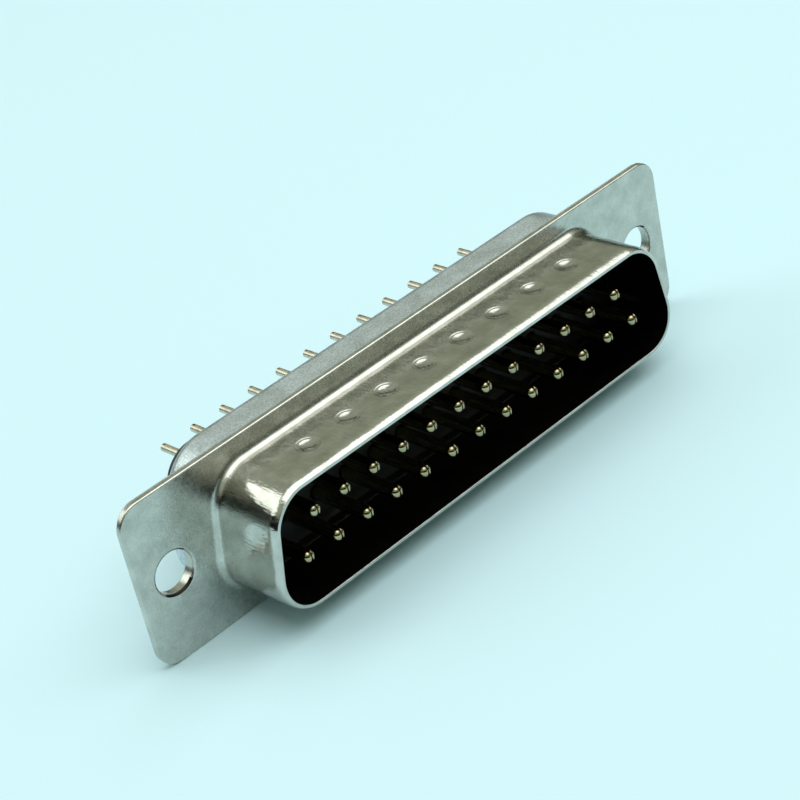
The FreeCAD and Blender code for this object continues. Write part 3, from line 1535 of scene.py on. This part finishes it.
@dataclass(frozen=True)
class Softbox:
    """A rectangular lamp that looks at the plug, with its width along the flange.

    Its direction is seen from the plug, and glow is its radiance, with 1 as white.
    """

    name: str
    direction: Coordinates
    distance: float
    width: float
    height: float
    glow: float
    colour: str

    def build(self) -> None:
        """Add the lamp."""
        leave()
        towards = Vector(self.direction).normalized()
        bpy.ops.object.light_add(type="AREA", location=towards * self.distance * MM)
        lamp = bpy.context.object
        lamp.name = self.name
        across = Vector(Axis.LENGTH.value)
        across = (across - towards * towards.dot(across)).normalized()
        turn = Matrix((across, towards.cross(across), towards)).transposed()
        lamp.rotation_euler = turn.to_euler()
        lamp.data.shape = "RECTANGLE"
        lamp.data.size = self.width * MM
        lamp.data.size_y = self.height * MM
        lamp.data.energy = self.glow * math.pi * lamp.data.size * lamp.data.size_y
        lamp.data.color = linear(self.colour)[:3]
        lamp.visible_camera = False


@dataclass
class Studio:
    """A pale floor, plain soft lamps and the camera."""

    floor_level: float = -6.275
    floor_size: float = 6000.0
    left_of_room: Stops = (
        (0.10, "#0B0B0B"),
        (0.36, "#0D0D0D"),
        (0.47, "#98A08B"),
        (0.64, "#B4BCA8"),
        (0.90, "#8C928A"),
    )
    right_of_room: Stops = (
        (0.13, "#0B0B0B"),
        (0.28, "#868C79"),
        (0.46, "#98A08B"),
        (0.64, "#B4BCA8"),
        (0.90, "#8C928A"),
    )
    left_end: float = -0.25
    right_start: float = 0.15
    camera_place: Coordinates = (-82.759, -100.658, 76.697)
    camera_target: Coordinates = (-2.3179, 0.0, 1.0196)
    camera_roll: float = math.radians(-12.978)
    camera_lens: float = 96.995
    camera_sensor: float = 36.0
    camera_near: float = 1.0
    lamps: list[Softbox] = field(
        default_factory=lambda: [
            Softbox("softbox_overhead", (0.171, -0.114, 1.0), 600, 882, 888, 1.95, "#F8FCFA"),
            Softbox("softbox_back_left", (-0.50, 0.66, 0.58), 700, 480, 360, 1.75, "#F2FAF4"),
        ]
    )

    def build(self) -> None:
        """Add the floor, the lamps, the room's glow and the camera."""
        self.lay_floor()
        for lamp in self.lamps:
            lamp.build()
        self.light_room()
        self.place_camera()
        bpy.context.scene.view_settings.view_transform = "Standard"

    def lay_floor(self) -> None:
        """Lay the floor that the flange's lower edge stands on."""
        leave()
        level = (0, 0, self.floor_level * MM)
        bpy.ops.mesh.primitive_plane_add(size=self.floor_size * MM, location=level)
        floor = bpy.context.object
        floor.name = "floor"
        set_place(floor)
        floor.data.materials.append(PaleStudioFloor().build())

    def light_room(self) -> None:
        """Give the room a dim glow that is dark at the horizon, and further up on the left."""
        world = bpy.data.worlds.new("room")
        world.use_nodes = True
        tree = world.node_tree
        tree.nodes.clear()
        place = add_node(tree, "ShaderNodeTexCoord")["Generated"]
        parts = add_node(tree, "ShaderNodeSeparateXYZ", links={"Vector": place})
        ends = {"From Min": self.left_end, "From Max": self.right_start}
        side = add_node(tree, "ShaderNodeMapRange", ends, {"Value": parts["X"]})["Result"]
        left, right = (
            add_node(tree, "ShaderNodeValToRGB", {"stops": stops}, {"Fac": parts["Z"]})["Color"]
            for stops in (self.left_of_room, self.right_of_room)
        )
        room = add_node(
            tree,
            "ShaderNodeMix",
            {"data_type": "RGBA"},
            {"Factor_Float": side, "A_Color": left, "B_Color": right},
        )["Result_Color"]
        glow = add_node(tree, "ShaderNodeBackground", links={"Color": room})["Background"]
        add_node(tree, "ShaderNodeOutputWorld", links={"Surface": glow})
        bpy.context.scene.world = world

    def place_camera(self) -> None:
        """Put the camera where the plug is seen from its front left, from above."""
        place = Vector(self.camera_place) * MM
        sight = Vector(self.camera_target) * MM - place
        aim = sight.to_track_quat("-Z", "Y").to_matrix()
        turn = aim @ Matrix.Rotation(self.camera_roll, 3, "Z")
        leave()
        bpy.ops.object.camera_add(location=place, rotation=turn.to_euler())
        camera = bpy.context.object
        camera.data.lens = self.camera_lens
        camera.data.sensor_width = self.camera_sensor
        camera.data.clip_start = self.camera_near * MM
        bpy.context.scene.camera = camera


def main() -> None:
    """Build the pieces in order, dress them and set the studio round them."""
    logging.basicConfig(level=logging.INFO, format="%(name)s: %(message)s")
    sizes = PlugSizes()
    nickel = DrawnNickelPlate().build()
    tin = SatinTinPlate().build()
    black = MouldedPolyester().build()
    plating = SelectivePlate().build()
    front_shell = FrontShell(sizes)
    shell = front_shell.build()
    finish_piece(shell, "front_shell", nickel)
    # The shroud's inside gets a near-black nickel, which is painted shade of the cavity.
    front_shell.paint_shade_inside(shell, PaintedShadeShroudInside().build())
    finish_piece(RearShell(sizes).build(), "rear_shell", tin)
    finish_piece(FrontInsulator(sizes).build(), "front_insulator", black)
    finish_piece(RearInsulator(sizes).build(), "rear_insulator", black)
    for number, contact in enumerate(Contacts(sizes).build(), start=1):
        finish_piece(contact, f"contact_{number:02d}", plating)
    Studio().build()


if __name__ == "__main__":
    main()
